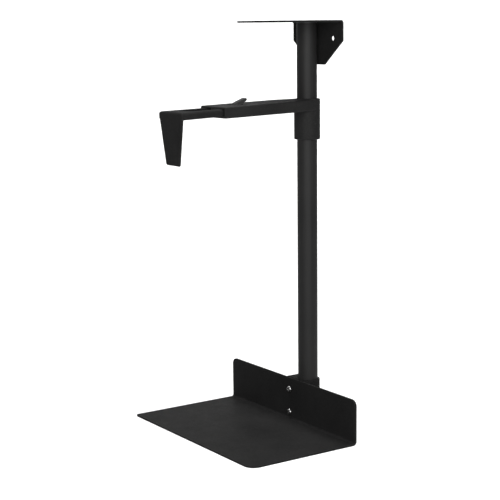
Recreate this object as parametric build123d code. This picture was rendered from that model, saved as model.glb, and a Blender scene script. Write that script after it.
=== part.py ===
"""Under-desk holder for a tower computer: bracket, column, clamping arm and tray.

Millimetres. The origin is on the column's axis, at the face that lies against the desk.
+Z is up, -X is the way the arm and the tray reach, and -Y is the front.
"""

from build123d import *
from math import acos, atan2, cos, hypot, sin, sqrt
import os

# Column
COLUMN_R = 14.0
COLUMN_WALL = 2.0
COLUMN_TOP = -3.55
COLUMN_END = -553.0
PLUG_R = COLUMN_R - COLUMN_WALL - 0.05
PLUG_LENGTH = 22.0

# Sheet metal shared by the bracket and the tray
SHEET = 2.5

# Gaps on radius: a screw in its thread, and a piece that turns or slides
THREAD_GAP = 0.05
RUN_GAP = 0.1

# Desk bracket
BRACKET_WIDTH = 112.0
PLATE_REACH = 79.5
FLANGE_IN = 17.8
FLANGE_OUT = FLANGE_IN + SHEET
FLANGE_SIDE_DROP = 27.8
FLANGE_DROP = 60.4
FLANGE_BOTTOM_WIDTH = 31.0
BRACKET_BEND = 2.0
BRACKET_CORNER = 5.0
SIDE_HOLE_R = 3.5
SIDE_HOLE_Y = 34.5
SIDE_HOLE_Z = -24.5
DESK_HOLE_R = 2.75
DESK_HOLE_SPACING = (76.0, 88.0)
DESK_HOLE_CENTRE_X = -29.5

# Swivel bolt, M8 countersunk
SWIVEL_R = 4.0
SWIVEL_HEAD_R = 7.8
SWIVEL_HEAD_TOP = -0.2
SWIVEL_LENGTH = 22.0
SWIVEL_KEY = (5.0, 3.0)
WASHER_THICK = 1.0
WASHER_BORE_R = 6.2

# Tray
TRAY_FRONT = -132.5
TRAY_BACK = 166.5
TRAY_LEFT = -189.5
TRAY_FLANGE_IN = -19.0
TRAY_FLANGE_OUT = TRAY_FLANGE_IN + SHEET
TRAY_TOP = -565.0
TRAY_FLANGE_TOP = -505.0
TRAY_BEND = 3.0
TRAY_FRONT_CORNER = 15.0
TRAY_BACK_CORNER = 4.0
TRAY_FLANGE_CORNER = 9.0

# Foot block
FOOT_TOP = -504.3
FOOT_BOTTOM = -566.0
FOOT_FRONT = -16.5
FOOT_BACK = 28.0
FOOT_SIDE = 16.5
FOOT_FREE_ROUND = 15.5
FOOT_BACK_ROUND = 9.0
FOOT_FLANGE_ROUND = 3.5
FOOT_RIM_R = 0.8
FOOT_SEAT = -559.0
FOOT_RECESS_R = 6.0
FOOT_BOLT_R = 3.0
FOOT_BOLT_HEAD = (5.2, 3.3)
FOOT_BOLT_ROUND = 2.0
FOOT_BOLT_GRIP = 17.0
FOOT_BOLT_KEY = (4.0, 2.2)
FOOT_WASHER = (5.8, 1.2)
FOOT_SCREW_R = 2.5
FOOT_SCREW_Y = 18.7
FOOT_SCREW_Z = (-521.8, -555.6)
FOOT_SCREW_HEAD = (4.75, 2.75)
FOOT_SCREW_ROUND = 2.2
FOOT_SCREW_KEY = (3.0, 1.85)
FOOT_SCREW_DEPTH = 12.0

# Arm: its own axes are turned down by the droop, with z = 0 on top of the sleeve
ARM_DROOP = 1.6
ARM_Z = -106.8
SLEEVE_REACH = 154.8
SLEEVE_HALF = 30.0
SLEEVE_SHOULDER = 40.0
SHOULDER_R = 25.0
SLEEVE_HEIGHT = 15.0
SLEEVE_WALL = 2.4
SLEEVE_EDGE_R = 1.8
MOUTH_EDGE_R = 0.8
CAVITY_END = 44.0

# Collar
COLLAR_R = 18.1
COLLAR_BORE_R = 15.6
COLLAR_TOP = -106.4
COLLAR_BOTTOM = -162.5
COLLAR_LIP = 1.2
COLLAR_LIP_R = COLUMN_R + 0.35
LINER_HEIGHT = 16.0
LINER_TOP = COLLAR_TOP - COLLAR_LIP - 0.1
LOWER_LINER_END = COLLAR_BOTTOM + 0.4
COLLAR_RIM_R = 1.4
LOCK_BOSS_R = 5.5
LOCK_BOSS_Y = 22.0
LOCK_Z = -135.0
LOCK_SCREW_R = 3.0
LOCK_SCREW_Y = 21.4
LOCK_PAD_Y = (COLUMN_R + 0.15, 16.7)
LOCK_KEY = (3.0, 2.8)

# Sliding arm, a channel of bent sheet
ARM_REACH = 220.2
ARM_INNER_END = 73.0
ARM_TOP = -2.7
ARM_HEIGHT = 9.6
ARM_SHEET = 2.3
ARM_HALF = ((ARM_REACH, 28.8), (SLEEVE_REACH, 24.4), (ARM_INNER_END, 24.4))
SLOT_HALF = 15.5
SLOT_ENDS = (197.5, 81.0)
SLOT_CORNER = 5.0
FINGER_DROP = 70.3
FINGER_TIP_HALF = 17.0
FINGER_CORNER = 3.5
FINGER_CURL_R = 2.0
FOLD_R = 3.4
FACING_THICK = 2.0
FACING_TOP = (22.5, -17.0)
FACING_LOW = (14.5, -61.0)
FACING_CORNER = 2.5

# Clamp lever and its pin
PIN_X = -118.5
PIN_Z = -1.0
PIN_R = 1.25
PIN_HALF_LENGTH = 12.2
LUG_TOP = 0.9
LUG_REACH = 3.4
LUG_EDGE_R = 0.7
LUG_COVER = 1.2
HUB_R = 3.94
LEVER_HALF = 4.0
LEVER_TIP = (-104.6, 6.1)
LEVER_TIP_R = 1.9
LEVER_CLEAR = 0.4
CAM_R = 2.1
CAM_OFFSET = 0.4
CAM_HALF = 8.4
WELL_GAP = 0.45

# Guide block in the arm's slot, with a free end under the cams, and its screw
GUIDE_ENDS = (-150.0, -112.0)
GUIDE_HALF = 15.2
GUIDE_FREE_X = -127.5
GUIDE_FREE_TOP = -3.6
GUIDE_FREE_BOTTOM = -11.8
GUIDE_X = -139.0
GUIDE_R = 2.5
GUIDE_HEAD_R = 4.9
GUIDE_SCREW_TOP = -5.0
GUIDE_KEY = (3.0, 1.8)


def block(x, y, z):
    """Box between pairs of limits."""
    size = [abs(b - a) for a, b in (x, y, z)]
    middle = [(a + b) / 2 for a, b in (x, y, z)]
    return Pos(*middle) * Box(*size)


def rod(radius, z_from, z_to, x=0.0, y=0.0):
    """Upright cylinder between two heights."""
    return Pos(x, y, (z_from + z_to) / 2) * Cylinder(radius, abs(z_to - z_from))


def rod_x(radius, x_from, x_to, y, z):
    """Cylinder that lies along X."""
    return Pos((x_from + x_to) / 2, y, z) * Rot(0, 90, 0) * Cylinder(radius, abs(x_to - x_from))


def rod_y(radius, y_from, y_to, x, z):
    """Cylinder that lies along Y."""
    return Pos(x, (y_from + y_to) / 2, z) * Rot(90, 0, 0) * Cylinder(radius, abs(y_to - y_from))


def ring(outer, inner, z_from, z_to):
    """Upright tube between two heights."""
    return rod(outer, z_from, z_to) - rod(inner, z_from, z_to)


def prism(outline, z_from, z_to):
    """Upright prism on a plan outline of (x, y) points."""
    face = make_face(Plane.XY * Polyline(*outline, close=True))
    return Pos(0, 0, z_from) * extrude(face, z_to - z_from)


def cross_plate(half_outline, x_from, x_to):
    """Plate across X, symmetric about Y = 0, from the (y, z) points of its +Y side."""
    outline = list(half_outline) + [(-y, z) for y, z in reversed(half_outline)]
    face = make_face(Plane.YZ * Polyline(*outline, close=True))
    return Pos(x_from, 0, 0) * extrude(face, x_to - x_from, dir=(1, 0, 0))


def cone(r_low, r_high, z_low, z_high, x=0.0, y=0.0):
    """Upright cone between two heights."""
    return Pos(x, y, (z_low + z_high) / 2) * Cone(r_low, r_high, z_high - z_low)


def hex_socket(across_flats, z_from, z_to):
    """Hexagonal key recess along Z."""
    return Pos(0, 0, z_from) * extrude(RegularPolygon(across_flats / sqrt(3), 6), z_to - z_from)


def mirrored(half_outline):
    """Closed plan outline from the points of its +Y side."""
    return list(half_outline) + [(x, -y) for x, y in reversed(half_outline)]


def on_arm(shape):
    """Put a shape drawn in the arm's own axes into the frame of the part."""
    return Pos(0, 0, ARM_Z) * Rot(0, -ARM_DROOP, 0) * shape


def vertical_edges_near(shape, x, y, axis=Axis.Z):
    """Edges parallel to an axis that lie closest to a point of the plan."""
    edges = shape.edges().filter_by(axis)
    return edges.sort_by_distance((x, y, edges[0].center().Z))[:1]


def desk_bracket():
    """Bent sheet: the desk plate, and a six-sided flange that hangs beside the column."""
    half = BRACKET_WIDTH / 2
    plate = block((-PLATE_REACH, FLANGE_OUT), (-half, half), (-SHEET, 0))
    side_edge = [(half, 0), (half, -FLANGE_SIDE_DROP), (FLANGE_BOTTOM_WIDTH / 2, -FLANGE_DROP)]
    body = plate + cross_plate(side_edge, FLANGE_IN, FLANGE_OUT)
    bend = body.edges().filter_by(Axis.Y)
    inner = bend.sort_by_distance((FLANGE_IN, 0, -SHEET))[:1]
    body = fillet(inner, BRACKET_BEND)
    outer = body.edges().filter_by(Axis.Y).sort_by_distance((FLANGE_OUT, 0, 0))[:1]
    body = fillet(outer, BRACKET_BEND + SHEET)
    for side in (-1, 1):
        body = fillet(vertical_edges_near(body, -PLATE_REACH, side * half), BRACKET_CORNER)
        body -= rod_x(SIDE_HOLE_R, FLANGE_IN - 1, FLANGE_OUT + 1, side * SIDE_HOLE_Y, SIDE_HOLE_Z)
        for end in (-1, 1):
            x = DESK_HOLE_CENTRE_X + end * DESK_HOLE_SPACING[0] / 2
            body -= rod(DESK_HOLE_R, -SHEET - 1, 1, x, side * DESK_HOLE_SPACING[1] / 2)
    return body - swivel_cone(RUN_GAP, -SHEET - 1, 1.0)


def swivel_cone(gap, z_low, z_high):
    """90 degree countersink of the swivel bolt, grown by a gap, between two heights."""
    at_top = SWIVEL_HEAD_R + gap - SWIVEL_HEAD_TOP
    return cone(at_top + z_low, at_top + z_high, z_low, z_high)


def swivel_bolt():
    """Countersunk bolt whose cone turns in the desk plate and whose shank screws into the tube."""
    neck = SWIVEL_HEAD_TOP - (SWIVEL_HEAD_R - SWIVEL_R)
    head = swivel_cone(0.0, neck, SWIVEL_HEAD_TOP)
    shank = rod(SWIVEL_R, neck, -SWIVEL_LENGTH)
    across, depth = SWIVEL_KEY
    return head + shank - hex_socket(across, SWIVEL_HEAD_TOP - depth, 0)


def swivel_washer():
    return ring(COLUMN_R, WASHER_BORE_R, -SHEET - WASHER_THICK, -SHEET)


def column_tube():
    return ring(COLUMN_R, COLUMN_R - COLUMN_WALL, COLUMN_TOP, COLUMN_END)


def upper_tube_plug():
    """Threaded plug, countersunk a little for the neck of the swivel bolt."""
    body = rod(PLUG_R, COLUMN_TOP, COLUMN_TOP - PLUG_LENGTH)
    body -= rod(SWIVEL_R + THREAD_GAP, COLUMN_TOP, COLUMN_TOP - PLUG_LENGTH)
    return body - swivel_cone(RUN_GAP + THREAD_GAP, COLUMN_TOP - 1.5, COLUMN_TOP + 0.1)


def lower_tube_plug():
    body = rod(PLUG_R, COLUMN_END, COLUMN_END + PLUG_LENGTH)
    return body - rod(FOOT_BOLT_R + THREAD_GAP, COLUMN_END, COLUMN_END + PLUG_LENGTH)


def foot_block():
    """Socket for the column, round at the free side and flat against the tray's flange."""
    body = block((-FOOT_SIDE, FOOT_SIDE), (FOOT_FRONT, FOOT_BACK), (FOOT_BOTTOM, FOOT_TOP))
    for x, y, radius in (
        (FOOT_SIDE, FOOT_FRONT, FOOT_FREE_ROUND),
        (FOOT_SIDE, FOOT_BACK, FOOT_BACK_ROUND),
        (-FOOT_SIDE, FOOT_FRONT, FOOT_FLANGE_ROUND),
    ):
        body = fillet(vertical_edges_near(body, x, y), radius)
    body = fillet(body.faces().sort_by(Axis.Z)[-1].edges(), FOOT_RIM_R)
    body -= rod(COLUMN_R + 0.08, COLUMN_END, FOOT_TOP + 1)
    body -= rod(FOOT_BOLT_R + 0.3, FOOT_BOTTOM - 1, COLUMN_END + 1)
    body -= rod(FOOT_RECESS_R, FOOT_BOTTOM - 1, FOOT_SEAT)
    for z in FOOT_SCREW_Z:
        end = TRAY_FLANGE_IN + FOOT_SCREW_DEPTH + 1.5
        body -= rod_x(FOOT_SCREW_R + THREAD_GAP, -FOOT_SIDE - 1, end, FOOT_SCREW_Y, z)
    return body


def foot_bolt_washer():
    return ring(FOOT_WASHER[0], FOOT_BOLT_R + 0.2, FOOT_SEAT, FOOT_SEAT - FOOT_WASHER[1])


def foot_bolt():
    """Button-head bolt that draws the tube down into the foot from below."""
    under_head = FOOT_SEAT - FOOT_WASHER[1]
    head = rod(FOOT_BOLT_HEAD[0], under_head, under_head - FOOT_BOLT_HEAD[1])
    head = fillet(head.faces().sort_by(Axis.Z)[0].edges(), FOOT_BOLT_ROUND)
    shank = rod(FOOT_BOLT_R, under_head, COLUMN_END + FOOT_BOLT_GRIP)
    low = under_head - FOOT_BOLT_HEAD[1]
    across, depth = FOOT_BOLT_KEY
    return head + shank - hex_socket(across, low - 1, low + depth)


def foot_screws():
    """Two button-head screws through the tray's flange into the foot block."""
    radius, height = FOOT_SCREW_HEAD
    across, depth = FOOT_SCREW_KEY
    screws = []
    for z in FOOT_SCREW_Z:
        head = rod(radius, 0, height)
        head = fillet(head.faces().sort_by(Axis.Z)[-1].edges(), FOOT_SCREW_ROUND)
        screw = head + rod(FOOT_SCREW_R, 0, -FOOT_SCREW_DEPTH)
        screw -= hex_socket(across, height - depth, height + 1)
        screws.append(Pos(TRAY_FLANGE_IN, FOOT_SCREW_Y, z) * Rot(0, -90, 0) * screw)
    return Compound(children=screws)


def tray():
    """Long bent sheet: the plate the computer stands on and a low flange beside it."""
    y = (TRAY_FRONT, TRAY_BACK)
    middle = (TRAY_FRONT + TRAY_BACK) / 2
    plate = block((TRAY_LEFT, TRAY_FLANGE_OUT), y, (TRAY_TOP - SHEET, TRAY_TOP))
    flange = block((TRAY_FLANGE_IN, TRAY_FLANGE_OUT), y, (TRAY_TOP - SHEET, TRAY_FLANGE_TOP))
    body = plate + flange
    inner = body.edges().filter_by(Axis.Y).sort_by_distance((TRAY_FLANGE_IN, middle, TRAY_TOP))[:1]
    body = fillet(inner, TRAY_BEND)
    corner = (TRAY_FLANGE_OUT, middle, TRAY_TOP - SHEET)
    body = fillet(body.edges().filter_by(Axis.Y).sort_by_distance(corner)[:1], TRAY_BEND + SHEET)
    for corner_y, radius in ((TRAY_FRONT, TRAY_FRONT_CORNER), (TRAY_BACK, TRAY_BACK_CORNER)):
        body = fillet(vertical_edges_near(body, TRAY_LEFT, corner_y), radius)
        ends = body.edges().filter_by(Axis.X)
        top_corner = ends.sort_by_distance((TRAY_FLANGE_IN, corner_y, TRAY_FLANGE_TOP))[:1]
        body = fillet(top_corner, TRAY_FLANGE_CORNER)
    for z in FOOT_SCREW_Z:
        body -= rod_x(FOOT_SCREW_R + 0.2, TRAY_FLANGE_IN - 1, TRAY_FLANGE_OUT + 1, FOOT_SCREW_Y, z)
    return body


def shoulder_tangent():
    """Point of the collar's circle where the straight line from the sleeve's shoulder touches it."""
    away = hypot(SLEEVE_SHOULDER, SLEEVE_HALF)
    angle = atan2(SLEEVE_HALF, -SLEEVE_SHOULDER) - acos(COLLAR_R / away)
    return COLLAR_R * cos(angle), COLLAR_R * sin(angle)


def sleeve():
    """Flat box of the arm housing with shoulders drawn in to the collar, in the arm's axes."""
    half = [(-SLEEVE_REACH, SLEEVE_HALF), (-SLEEVE_SHOULDER, SLEEVE_HALF), shoulder_tangent()]
    body = prism(mirrored(half), -SLEEVE_HEIGHT, 0)
    for side in (-1, 1):
        body = fillet(vertical_edges_near(body, -SLEEVE_SHOULDER, side * SLEEVE_HALF), SHOULDER_R)
        body = fillet(vertical_edges_near(body, -SLEEVE_REACH, side * SLEEVE_HALF), MOUTH_EDGE_R)
    rims = body.faces().sort_by(Axis.Z)[-1].edges() + body.faces().sort_by(Axis.Z)[0].edges()
    sides = [edge for edge in rims if -SLEEVE_REACH + 1 < edge.center().X < -1]
    return fillet(sides, SLEEVE_EDGE_R)


def sleeve_cavity():
    """Space for the sliding arm, open at the end of the sleeve."""
    half = SLEEVE_HALF - SLEEVE_WALL
    height = (-SLEEVE_HEIGHT + SLEEVE_WALL, -SLEEVE_WALL)
    return block((-SLEEVE_REACH - 1, -CAVITY_END), (-half, half), height)


def lever_well():
    """Opening in the roof of the sleeve for the lever's hub and its two cams."""
    roof = (-SLEEVE_WALL - 0.5, 3.0)
    hub = HUB_R + WELL_GAP
    cam = CAM_R + CAM_OFFSET + WELL_GAP
    middle = block((PIN_X - hub, PIN_X + hub), (-LEVER_HALF - WELL_GAP, LEVER_HALF + WELL_GAP), roof)
    wings = block((PIN_X - cam, PIN_X + cam), (-CAM_HALF - WELL_GAP, CAM_HALF + WELL_GAP), roof)
    return middle + wings


def pin_lugs():
    """Low lugs on the sleeve's roof that hold the ends of the lever pin."""
    lugs = []
    for side in (-1, 1):
        y = sorted((side * (CAM_HALF + WELL_GAP), side * (PIN_HALF_LENGTH + LUG_COVER)))
        lug = block((PIN_X - LUG_REACH, PIN_X + LUG_REACH), y, (-SLEEVE_WALL, LUG_TOP))
        lugs.append(fillet(lug.faces().sort_by(Axis.Z)[-1].edges(), LUG_EDGE_R))
    return lugs


def arm_housing():
    """Casting: a collar that rides on the column and the sleeve that the arm slides in."""
    collar = rod(COLLAR_R, COLLAR_BOTTOM, COLLAR_TOP)
    collar = fillet(collar.edges().filter_by(GeomType.CIRCLE), COLLAR_RIM_R)
    boss = rod_y(LOCK_BOSS_R, 0, LOCK_BOSS_Y, 0, LOCK_Z)
    box = sleeve() - sleeve_cavity()
    for lug in pin_lugs():
        box += lug
    box -= lever_well()
    box -= rod_y(PIN_R + THREAD_GAP, -PIN_HALF_LENGTH, PIN_HALF_LENGTH, PIN_X, PIN_Z)
    floor = -SLEEVE_HEIGHT
    sink = (floor - 1, floor + SLEEVE_WALL + THREAD_GAP)
    box -= cone(GUIDE_HEAD_R + 1.1, GUIDE_R + THREAD_GAP, *sink, GUIDE_X)
    body = collar + boss + on_arm(box)
    body -= rod(COLLAR_BORE_R, COLLAR_BOTTOM - 1, COLLAR_TOP - COLLAR_LIP)
    body -= rod(COLLAR_LIP_R, COLLAR_BOTTOM - 1, COLLAR_TOP + 2)
    return body - rod_y(LOCK_SCREW_R + THREAD_GAP, COLUMN_R, LOCK_BOSS_Y + 1, 0, LOCK_Z)


def collar_liner(z_top):
    """Plastic liner that slides on the column and turns in the collar."""
    return ring(COLLAR_BORE_R - RUN_GAP, COLUMN_R + RUN_GAP, z_top, z_top - LINER_HEIGHT)


def height_lock_screw():
    """Socket set screw in the collar's boss."""
    across, depth = LOCK_KEY
    body = rod(LOCK_SCREW_R, LOCK_PAD_Y[1], LOCK_SCREW_Y)
    body -= hex_socket(across, LOCK_SCREW_Y - depth, LOCK_SCREW_Y + 1)
    return Pos(0, 0, LOCK_Z) * Rot(-90, 0, 0) * body


def height_lock_pad():
    return rod_y(LOCK_SCREW_R - RUN_GAP, *LOCK_PAD_Y, 0, LOCK_Z)


def guide_block():
    """Plastic block that keeps the arm's slot in line; the cams bear on its thinner free end."""
    floor = -SLEEVE_HEIGHT + SLEEVE_WALL
    body = block(GUIDE_ENDS, (-GUIDE_HALF, GUIDE_HALF), (floor, -SLEEVE_WALL))
    body = fillet(body.edges().filter_by(Axis.Z), SLOT_CORNER)
    free = (GUIDE_FREE_X, GUIDE_ENDS[1] + 1)
    body -= block(free, (-20, 20), (GUIDE_FREE_TOP, 0))
    body -= block(free, (-20, 20), (floor - 1, GUIDE_FREE_BOTTOM))
    relief = LEVER_HALF + 0.6
    body -= rod_y(HUB_R + 0.5, -relief, relief, PIN_X, PIN_Z)
    return on_arm(body - rod(GUIDE_R + THREAD_GAP, floor - 1, GUIDE_SCREW_TOP + 0.5, GUIDE_X))


def guide_screw():
    """Countersunk screw from below that holds the guide block."""
    floor = -SLEEVE_HEIGHT
    across, depth = GUIDE_KEY
    head = cone(GUIDE_HEAD_R, GUIDE_R, floor + 0.1, floor + SLEEVE_WALL)
    body = head + rod(GUIDE_R, floor + SLEEVE_WALL, GUIDE_SCREW_TOP)
    return on_arm(Pos(GUIDE_X, 0, 0) * (body - hex_socket(across, floor, floor + depth)))


def lever_pin():
    return on_arm(rod_y(PIN_R, -PIN_HALF_LENGTH, PIN_HALF_LENGTH, PIN_X, PIN_Z))


def clamp_lever():
    """Wedge-shaped lever with a rolled tip, and an eccentric cam each side of its hub."""
    hub = Pos(PIN_X, PIN_Z) * Circle(HUB_R)
    tip = Pos(*LEVER_TIP) * Circle(LEVER_TIP_R)
    side = Plane.XZ * make_hull(hub.edges() + tip.edges())
    body = Pos(0, LEVER_HALF, 0) * extrude(side, 2 * LEVER_HALF)
    body -= block((PIN_X, 0), (-20, 20), (-20, LEVER_CLEAR))
    body += rod_y(HUB_R, -LEVER_HALF, LEVER_HALF, PIN_X, PIN_Z)
    body += rod_y(CAM_R, -CAM_HALF, CAM_HALF, PIN_X, PIN_Z - CAM_OFFSET)
    return on_arm(body - rod_y(PIN_R + RUN_GAP, -20, 20, PIN_X, PIN_Z))


def arm_outline(inset, inner_end):
    """Plan of the channel, drawn in by a wall on its sides and its finger end."""
    (reach, half_a), (middle, half_b), (_, half_c) = ARM_HALF
    points = [(-reach + inset, half_a - inset), (-middle, half_b - inset), (-inner_end, half_c - inset)]
    return mirrored(points)


def finger():
    """Tongue bent down from the end of the arm, full width at the fold and tapered below it."""
    band, low = ARM_TOP - ARM_HEIGHT, ARM_TOP - FINGER_DROP
    half = ARM_HALF[0][1]
    outline = [(half, ARM_TOP - FOLD_R), (half, band), (FINGER_TIP_HALF, low)]
    body = cross_plate(outline, -ARM_REACH, -ARM_REACH + ARM_SHEET)
    low_corners = body.edges().filter_by(Axis.X).sort_by(Axis.Z)[:2]
    body = fillet(low_corners, FINGER_CORNER)
    toe = body.edges().filter_by(Axis.Y).sort_by_distance((-ARM_REACH, 0, low))[:1]
    return fillet(toe, FINGER_CURL_R)


def sliding_arm():
    """Slotted channel with the finger at its end."""
    low = ARM_TOP - ARM_HEIGHT
    body = prism(arm_outline(0, ARM_INNER_END), low, ARM_TOP)
    top_edges = body.faces().sort_by(Axis.Z)[-1].edges()
    body = fillet(top_edges.sort_by(Axis.X)[:-1], FOLD_R)
    body -= prism(arm_outline(ARM_SHEET, ARM_INNER_END - 1), low - 1, ARM_TOP - ARM_SHEET)
    body += finger()
    slot = block((-SLOT_ENDS[0], -SLOT_ENDS[1]), (-SLOT_HALF, SLOT_HALF), (low - 1, 1))
    return on_arm(body - fillet(slot.edges().filter_by(Axis.Z), SLOT_CORNER))


def finger_facing():
    """Rubber facing on the inner face of the finger."""
    inner_face = -ARM_REACH + ARM_SHEET
    body = cross_plate([FACING_TOP, FACING_LOW], inner_face, inner_face + FACING_THICK)
    return on_arm(fillet(body.edges().filter_by(Axis.X), FACING_CORNER))


PIECES = {
    "desk_bracket": desk_bracket,
    "swivel_bolt": swivel_bolt,
    "swivel_washer": swivel_washer,
    "column_tube": column_tube,
    "upper_tube_plug": upper_tube_plug,
    "lower_tube_plug": lower_tube_plug,
    "foot_block": foot_block,
    "foot_bolt": foot_bolt,
    "foot_bolt_washer": foot_bolt_washer,
    "foot_screws": foot_screws,
    "tray": tray,
    "collar_liner_upper": lambda: collar_liner(LINER_TOP),
    "collar_liner_lower": lambda: collar_liner(LOWER_LINER_END + LINER_HEIGHT),
    "arm_housing": arm_housing,
    "height_lock_screw": height_lock_screw,
    "height_lock_pad": height_lock_pad,
    "guide_block": guide_block,
    "guide_screw": guide_screw,
    "lever_pin": lever_pin,
    "clamp_lever": clamp_lever,
    "sliding_arm": sliding_arm,
    "finger_facing": finger_facing,
}

os.makedirs("parts", exist_ok=True)
for name, make in PIECES.items():
    export_step(make(), f"parts/{name}.step")
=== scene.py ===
"""Studio view of the under-desk computer holder: powder-coated steel on a white sweep."""

import bpy
from math import atan, cos, pi, radians, sin
from mathutils import Matrix, Vector


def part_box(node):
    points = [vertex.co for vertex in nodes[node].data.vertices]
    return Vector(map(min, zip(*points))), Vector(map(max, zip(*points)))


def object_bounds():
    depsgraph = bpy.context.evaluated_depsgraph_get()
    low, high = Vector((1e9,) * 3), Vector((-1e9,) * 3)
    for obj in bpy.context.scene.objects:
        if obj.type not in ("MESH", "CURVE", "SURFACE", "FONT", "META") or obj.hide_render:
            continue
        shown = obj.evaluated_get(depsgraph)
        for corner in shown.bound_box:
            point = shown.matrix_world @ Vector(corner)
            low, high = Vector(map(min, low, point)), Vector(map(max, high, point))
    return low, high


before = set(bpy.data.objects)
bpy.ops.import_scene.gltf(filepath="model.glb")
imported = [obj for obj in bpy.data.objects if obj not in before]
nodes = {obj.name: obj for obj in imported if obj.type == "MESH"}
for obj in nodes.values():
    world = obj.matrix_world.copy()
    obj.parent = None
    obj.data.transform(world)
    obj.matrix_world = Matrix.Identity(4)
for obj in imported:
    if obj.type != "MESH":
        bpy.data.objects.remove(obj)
cad_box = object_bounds()

# Camera, level with the upper part of the column and turned towards the arm's side
CAMERA_PLACE = (-1.1153, -1.5087, -0.0057)
CAMERA_TURN = -34.0
CAMERA_DOWN = 9.46
CAMERA_ROLL = -0.6
CAMERA_LENS = 97.16
CAMERA_CLIP = (0.05, 50.0)
SENSOR_WIDTH = 36.0

# Floor, well below the holder because the holder hangs
FLOOR_DROP = 0.8
FLOOR_RADIUS = 14.0
FLOOR_STEPS = 64

# Paper sweep: where it starts in front of the holder, where its wall stands behind it, and its curve.
# SWEEP_SPREAD is its width as a share of the view's.
SWEEP_NEAR = 0.3
SWEEP_FAR = 3.3
SWEEP_SPREAD = 1.06
SWEEP_RADIUS = 0.5
SWEEP_STEPS = 16
SWEEP_HEIGHT = 1.53
SWEEP_LIFT = 0.002

# Light: what the softboxes are aimed at, and the grey surroundings
HOLDER_MIDDLE = (0.0, 0.0, -0.3)
WALL_AIM_HEIGHT = -0.4
WORLD_GREY = 0.75
WORLD_STRENGTH = 0.4

# Shading shared by the materials: refractive indices, and the change of normal that counts as an edge
COAT_IOR = 1.45
NYLON_IOR = 1.53
BEVEL_SAMPLES = 4
EDGE_BAND = (0.02, 0.22)

# Turned heads of the tray's screws: radius, and radians of ring pattern per metre
SCREW_HEAD_R = 0.00475
RING_RATE = 26000.0


class Shader:
    """A new material with short calls for adding and joining its nodes."""

    def __init__(self, name, **values):
        self.material = bpy.data.materials.new(name)
        self.material.use_nodes = True
        self.tree = self.material.node_tree
        self.surface = self.tree.nodes["Principled BSDF"]
        for socket, value in values.items():
            self.surface.inputs[socket.replace("_", " ")].default_value = value
        self.place = self.node("ShaderNodeTexCoord").outputs["Object"]

    def node(self, kind, inputs=None, **settings):
        """Add a node, with its inputs given as values or as other nodes' outputs."""
        made = self.tree.nodes.new(kind)
        for key, value in settings.items():
            setattr(made, key, value)
        for key, value in (inputs or {}).items():
            if isinstance(value, bpy.types.NodeSocket):
                self.tree.links.new(value, made.inputs[key])
            else:
                made.inputs[key].default_value = value
        return made

    def link(self, output, socket):
        """Join an output to a socket of the surface."""
        self.tree.links.new(output, self.surface.inputs[socket])

    def stretched(self, factors):
        """The object's coordinates, scaled by a factor along each axis."""
        inputs = {0: self.place, 1: factors}
        return self.node("ShaderNodeVectorMath", inputs, operation="MULTIPLY").outputs[0]

    def noise(self, scale, detail=2.0, roughness=0.5, place=None):
        inputs = {"Vector": place or self.place, "Scale": scale, "Detail": detail, "Roughness": roughness}
        return self.node("ShaderNodeTexNoise", inputs).outputs["Fac"]

    def cells(self, scale):
        inputs = {"Vector": self.place, "Scale": scale}
        return self.node("ShaderNodeTexVoronoi", inputs).outputs["Distance"]

    def between(self, value, low, high, to_low=0.0, to_high=1.0):
        """Map a value from one range to another, clamped."""
        inputs = {0: value, 1: low, 2: high, 3: to_low, 4: to_high}
        return self.node("ShaderNodeMapRange", inputs).outputs[0]

    def maths(self, operation, *inputs):
        return self.node("ShaderNodeMath", dict(enumerate(inputs)), operation=operation).outputs[0]

    def times(self, a, b):
        return self.maths("MULTIPLY", a, b)

    def plus(self, a, b):
        return self.maths("ADD", a, b)

    def minus(self, a, b):
        return self.maths("SUBTRACT", a, b)

    def mixed(self, amount, colour_a, colour_b):
        """A colour between two others, which are the Mix node's sockets 6 and 7."""
        inputs = {0: amount, 6: colour_a, 7: colour_b}
        return self.node("ShaderNodeMix", inputs, data_type="RGBA").outputs[2]

    def rounded(self, radius):
        """The surface's normal, as if its sharp edges were rounded."""
        return self.node("ShaderNodeBevel", {"Radius": radius}, samples=BEVEL_SAMPLES).outputs[0]

    def edges(self, radius):
        """1 along sharp edges, 0 on flats."""
        inputs = {0: self.rounded(radius), 1: self.node("ShaderNodeNewGeometry").outputs["Normal"]}
        dot = self.node("ShaderNodeVectorMath", inputs, operation="DOT_PRODUCT").outputs["Value"]
        return self.between(self.minus(1.0, dot), *EDGE_BAND)

    def bumps(self, layers, round_edges):
        """Stack bump layers of (height, depth in metres) on softened edges."""
        normal = self.rounded(round_edges)
        for height, depth in layers:
            inputs = {"Height": height, "Distance": depth, "Strength": 1.0, "Normal": normal}
            normal = self.node("ShaderNodeBump", inputs).outputs[0]
        self.link(normal, "Normal")


def grey(level, warmth=0.0):
    return (level * (1 + warmth), level, level * (1 - warmth), 1.0)


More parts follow.
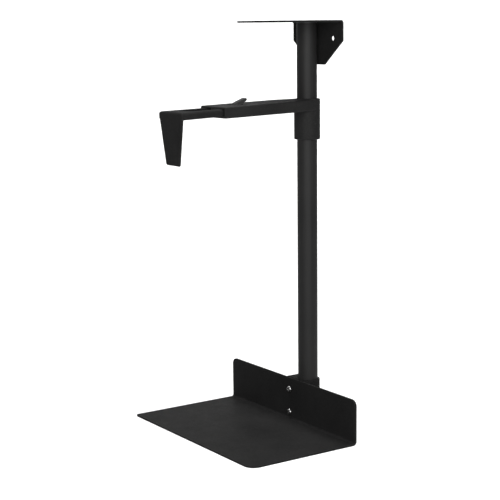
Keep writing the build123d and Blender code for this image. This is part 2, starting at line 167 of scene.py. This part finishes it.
def powder_coat(name, level=0.013, roughness=0.52, grain=950.0, depth=0.00010, gloss=0.012):
    """Black powder coat: orange-peel grain with its high spots painted lighter, partly as a painted
    highlight, faint cloudiness, and edges painted lighter in patches, partly as rubbed wear and partly as
    a painted highlight.

    Grain and depth are the scale and the height of the peel, and gloss is the specular level.
    """
    coat = Shader(name, IOR=COAT_IOR, Specular_IOR_Level=gloss)
    cloud = coat.noise(14.0, detail=4.0, roughness=0.6)
    peel = coat.noise(grain, roughness=0.6)
    base = coat.mixed(coat.between(cloud, 0.35, 0.7), grey(level * 0.85), grey(level * 1.2, 0.01))
    # High spots of the peel painted lighter: grain tone, and partly a painted highlight standing in for
    # small gloss glints on the orange peel.
    base = coat.mixed(coat.between(peel, 0.52, 0.72, to_high=0.7), base, grey(level * 2.4))
    # Edges painted lighter in noise patches: partly rubbed wear, partly a painted highlight where light
    # would catch the rounded edges.
    edge_wear_and_highlight_patches = coat.between(coat.noise(160.0, detail=3.0), 0.4, 0.62, to_low=0.25)
    base = coat.mixed(coat.times(coat.edges(0.0009), edge_wear_and_highlight_patches), base, grey(level * 3.5))
    coat.link(base, "Base Color")
    scuffs = coat.noise(60.0, detail=5.0, roughness=0.7, place=coat.stretched((1.0, 1.0, 0.25)))
    duller = coat.between(coat.plus(cloud, scuffs), 0.75, 1.25, roughness - 0.05, roughness + 0.07)
    coat.link(duller, "Roughness")
    coat.bumps([(peel, depth), (coat.noise(grain * 0.3, detail=1.0), depth * 1.2)], round_edges=0.0006)
    return coat.material


def tube_coat():
    """Smoother satin coat on the drawn tube, with faint lines along its length."""
    coat = Shader("tube_coat", IOR=COAT_IOR, Specular_IOR_Level=0.2)
    lines = coat.noise(500.0, detail=3.0, roughness=0.6, place=coat.stretched((1.0, 1.0, 0.012)))
    cloud = coat.noise(9.0, detail=4.0, roughness=0.6)
    base = coat.mixed(coat.between(cloud, 0.3, 0.7), grey(0.011), grey(0.015, 0.01))
    base = coat.mixed(coat.between(lines, 0.55, 0.75, to_high=0.4), base, grey(0.022))
    coat.link(base, "Base Color")
    coat.link(coat.between(coat.plus(lines, cloud), 0.7, 1.3, 0.42, 0.52), "Roughness")
    coat.bumps([(lines, 0.000012), (coat.noise(1100.0), 0.00001)], round_edges=0.0004)
    return coat.material


def bright_steel():
    """Nickel-plated screw heads: fine turning rings and a few handling marks."""
    steel = Shader("bright_steel", Metallic=1.0)
    low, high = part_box("foot_screws")
    place = steel.node("ShaderNodeSeparateXYZ", {0: steel.place})
    off_y = steel.minus(place.outputs["Y"], (low.y + high.y) / 2)
    distances = []
    for height in (low.z + SCREW_HEAD_R, high.z - SCREW_HEAD_R):
        off_z = steel.minus(place.outputs["Z"], height)
        offset = steel.node("ShaderNodeCombineXYZ", {0: off_y, 1: off_z}).outputs[0]
        distance = steel.node("ShaderNodeVectorMath", {0: offset}, operation="LENGTH")
        distances.append(distance.outputs["Value"])
    rings = steel.maths("SINE", steel.times(steel.maths("MINIMUM", *distances), RING_RATE))
    stain = steel.noise(420.0, detail=4.0)
    base = steel.mixed(steel.between(stain, 0.4, 0.65), grey(0.30), grey(0.42, 0.01))
    steel.link(base, "Base Color")
    steel.link(steel.between(stain, 0.35, 0.7, 0.20, 0.34), "Roughness")
    steel.bumps([(rings, 0.000004), (steel.noise(1500.0), 0.000006)], round_edges=0.0003)
    return steel.material


def metal(name, level, warmth, roughness):
    """Plated or oxidised steel with a blotchy finish and fine tool marks."""
    steel = Shader(name, Metallic=1.0)
    stain = steel.noise(260.0, detail=4.0, roughness=0.6)
    marks = steel.noise(1800.0, roughness=0.6, place=steel.stretched((1.0, 1.0, 0.15)))
    dark, light = grey(level * 0.75, warmth), grey(level * 1.2, -warmth)
    base = steel.mixed(steel.between(stain, 0.35, 0.68), dark, light)
    worn = steel.times(steel.edges(0.0004), 0.5)
    steel.link(steel.mixed(worn, base, grey(min(1.0, level * 1.8))), "Base Color")
    duller = steel.between(steel.plus(stain, marks), 0.7, 1.3, roughness - 0.07, roughness + 0.1)
    steel.link(duller, "Roughness")
    steel.bumps([(marks, 0.00001), (steel.noise(900.0), 0.000008)], round_edges=0.0003)
    return steel.material


def nylon():
    """Moulded black nylon: fine spark texture and slightly glossier high spots."""
    plastic = Shader("nylon", IOR=NYLON_IOR)
    texture = plastic.noise(2400.0)
    cloud = plastic.noise(90.0, detail=3.0)
    base = plastic.mixed(plastic.between(cloud, 0.3, 0.7), grey(0.022), grey(0.032))
    plastic.link(base, "Base Color")
    plastic.link(plastic.between(texture, 0.35, 0.7, 0.42, 0.60), "Roughness")
    plastic.bumps([(texture, 0.00002)], round_edges=0.0003)
    return plastic.material


def rubber():
    """Matt rubber with open pores."""
    soft = Shader("rubber", IOR=COAT_IOR)
    pores = soft.cells(1400.0)
    cloud = soft.noise(120.0, detail=3.0)
    base = soft.mixed(soft.between(cloud, 0.3, 0.7), grey(0.014), grey(0.024))
    soft.link(base, "Base Color")
    soft.link(soft.between(pores, 0.1, 0.6, 0.74, 0.92), "Roughness")
    soft.bumps([(soft.between(pores, 0.0, 0.35), 0.00006)], round_edges=0.0004)
    return soft.material


def dress(material, *names):
    """Give a material to CAD nodes in place of the one they came with."""
    for name in names:
        mesh = nodes[name].data
        mesh.materials.clear()
        mesh.materials.append(material)


def dress_everything():
    housing = powder_coat("housing_coat", 0.014, 0.50, grain=1300.0, depth=0.00006, gloss=0.07)
    lever = powder_coat("lever_coat", 0.034, 0.42, grain=1500.0, depth=0.00004, gloss=0.08)
    dark_steel = metal("dark_steel", 0.09, warmth=0.03, roughness=0.36)
    zinc_steel = metal("zinc_steel", 0.62, warmth=0.015, roughness=0.34)
    dress(powder_coat("sheet_coat"), "desk_bracket", "tray")
    dress(powder_coat("arm_coat", 0.014, 0.50, grain=1050.0, depth=0.00008), "sliding_arm")
    dress(housing, "arm_housing")
    dress(powder_coat("foot_coat", 0.010, 0.54, grain=1200.0, depth=0.00006), "foot_block")
    dress(lever, "clamp_lever")
    dress(tube_coat(), "column_tube")
    dress(bright_steel(), "foot_screws")
    dress(dark_steel, "swivel_bolt", "guide_screw", "height_lock_screw", "foot_bolt")
    dress(zinc_steel, "foot_bolt_washer", "upper_tube_plug", "lower_tube_plug", "lever_pin")
    dress(
        nylon(),
        "swivel_washer", "collar_liner_upper", "collar_liner_lower", "height_lock_pad", "guide_block",
    )
    dress(rubber(), "finger_facing")


def camera():
    """Long lens at the height of the desk, looking a little down."""
    data = bpy.data.cameras.new("camera")
    data.lens = CAMERA_LENS
    data.sensor_width = SENSOR_WIDTH
    data.clip_start, data.clip_end = CAMERA_CLIP
    made = bpy.data.objects.new("camera", data)
    turn = Matrix.Rotation(radians(CAMERA_TURN), 4, "Z")
    tilt = Matrix.Rotation(radians(90.0 - CAMERA_DOWN), 4, "X")
    roll = Matrix.Rotation(radians(CAMERA_ROLL), 4, "Z")
    made.matrix_world = Matrix.Translation(CAMERA_PLACE) @ turn @ tilt @ roll
    bpy.context.scene.collection.objects.link(made)
    bpy.context.scene.camera = made


def facing(turn):
    """Level unit vector from the column towards the camera, turned by degrees."""
    view = Vector((CAMERA_PLACE[0], CAMERA_PLACE[1], 0)).normalized()
    return Matrix.Rotation(radians(turn), 3, "Z") @ view


def view_edge(side, depth):
    """Point of the plan just outside the left (-1) or right (1) edge of the view.

    Depth is the distance from the column towards the camera, and negative behind the column.
    """
    lens = Vector((CAMERA_PLACE[0], CAMERA_PLACE[1], 0))
    half_view = atan(SENSOR_WIDTH / 2 / CAMERA_LENS) * SWEEP_SPREAD
    way = Matrix.Rotation(radians(CAMERA_TURN) - side * half_view, 3, "Z") @ Vector((0, 1, 0))
    toward = facing(0)
    return lens + way * (depth - toward.dot(lens)) / toward.dot(way)


def paper():
    """White studio paper, very faintly uneven."""
    made = Shader("paper", Roughness=0.85)
    tone = made.between(made.noise(3.0), 0.3, 0.7)
    made.link(made.mixed(tone, grey(0.90), grey(0.93)), "Base Color")
    return made.material


def staged(name, points, faces, material):
    """Mesh that belongs to the studio, not to the holder."""
    mesh = bpy.data.meshes.new(name)
    mesh.from_pydata(points, [], faces)
    for face in mesh.polygons:
        face.use_smooth = True
    mesh.materials.append(material)
    made = bpy.data.objects.new(name, mesh)
    bpy.context.scene.collection.objects.link(made)


def sweep_profile():
    """Depths and heights along the sweep: flat floor, quarter circle, wall."""
    profile = [(SWEEP_NEAR, 0.0)]
    for step in range(SWEEP_STEPS + 1):
        turn = pi / 2 * step / SWEEP_STEPS
        depth = SWEEP_RADIUS - SWEEP_FAR - SWEEP_RADIUS * sin(turn)
        profile.append((depth, SWEEP_RADIUS * (1 - cos(turn))))
    return profile + [(-SWEEP_FAR, SWEEP_HEIGHT)]


def floor_and_sweep():
    """Round white floor, and a strip of paper that curves up behind the holder."""
    base = cad_box[0][2] - FLOOR_DROP
    material = paper()
    turns = [2 * pi * step / FLOOR_STEPS for step in range(FLOOR_STEPS)]
    disc = [(FLOOR_RADIUS * cos(turn), FLOOR_RADIUS * sin(turn), base) for turn in turns]
    staged("floor", disc, [tuple(range(FLOOR_STEPS))], material)

    points = []
    for depth, height in sweep_profile():
        for side in (-1, 1):
            place = view_edge(side, depth)
            points.append((place.x, place.y, base + SWEEP_LIFT + height))
    rows = range(0, len(points) - 2, 2)
    staged("sweep", points, [(row, row + 1, row + 3, row + 2) for row in rows], material)


def softbox(name, turn, distance, height, size, power, target=HOLDER_MIDDLE):
    """Area light at a bearing from the camera's side, aimed at a point."""
    data = bpy.data.lights.new(name, "AREA")
    data.shape = "RECTANGLE"
    data.size, data.size_y = size
    data.energy = power
    place = facing(turn) * distance + Vector((0, 0, height))
    aim = (Vector(target) - place).to_track_quat("-Z", "Y").to_matrix().to_4x4()
    made = bpy.data.objects.new(name, data)
    made.matrix_world = Matrix.Translation(place) @ aim
    bpy.context.scene.collection.objects.link(made)


def studio():
    """Floor, sweep, a light above, one by the camera and one on the wall of the sweep."""
    floor_and_sweep()
    wall = facing(180) * SWEEP_FAR + Vector((0, 0, WALL_AIM_HEIGHT))
    softbox("overhead", turn=180, distance=0.2, height=2.0, size=(2.2, 1.6), power=85)
    softbox("front", turn=4, distance=2.4, height=0.3, size=(3.0, 1.6), power=62)
    softbox("backdrop", turn=180, distance=0.9, height=1.6, size=(2.0, 0.7), power=80, target=wall)
    world = bpy.data.worlds.new("studio")
    world.use_nodes = True
    background = world.node_tree.nodes["Background"]
    background.inputs["Color"].default_value = grey(WORLD_GREY)
    background.inputs["Strength"].default_value = WORLD_STRENGTH
    bpy.context.scene.world = world
    bpy.context.scene.view_settings.view_transform = "Standard"


dress_everything()
camera()
studio()
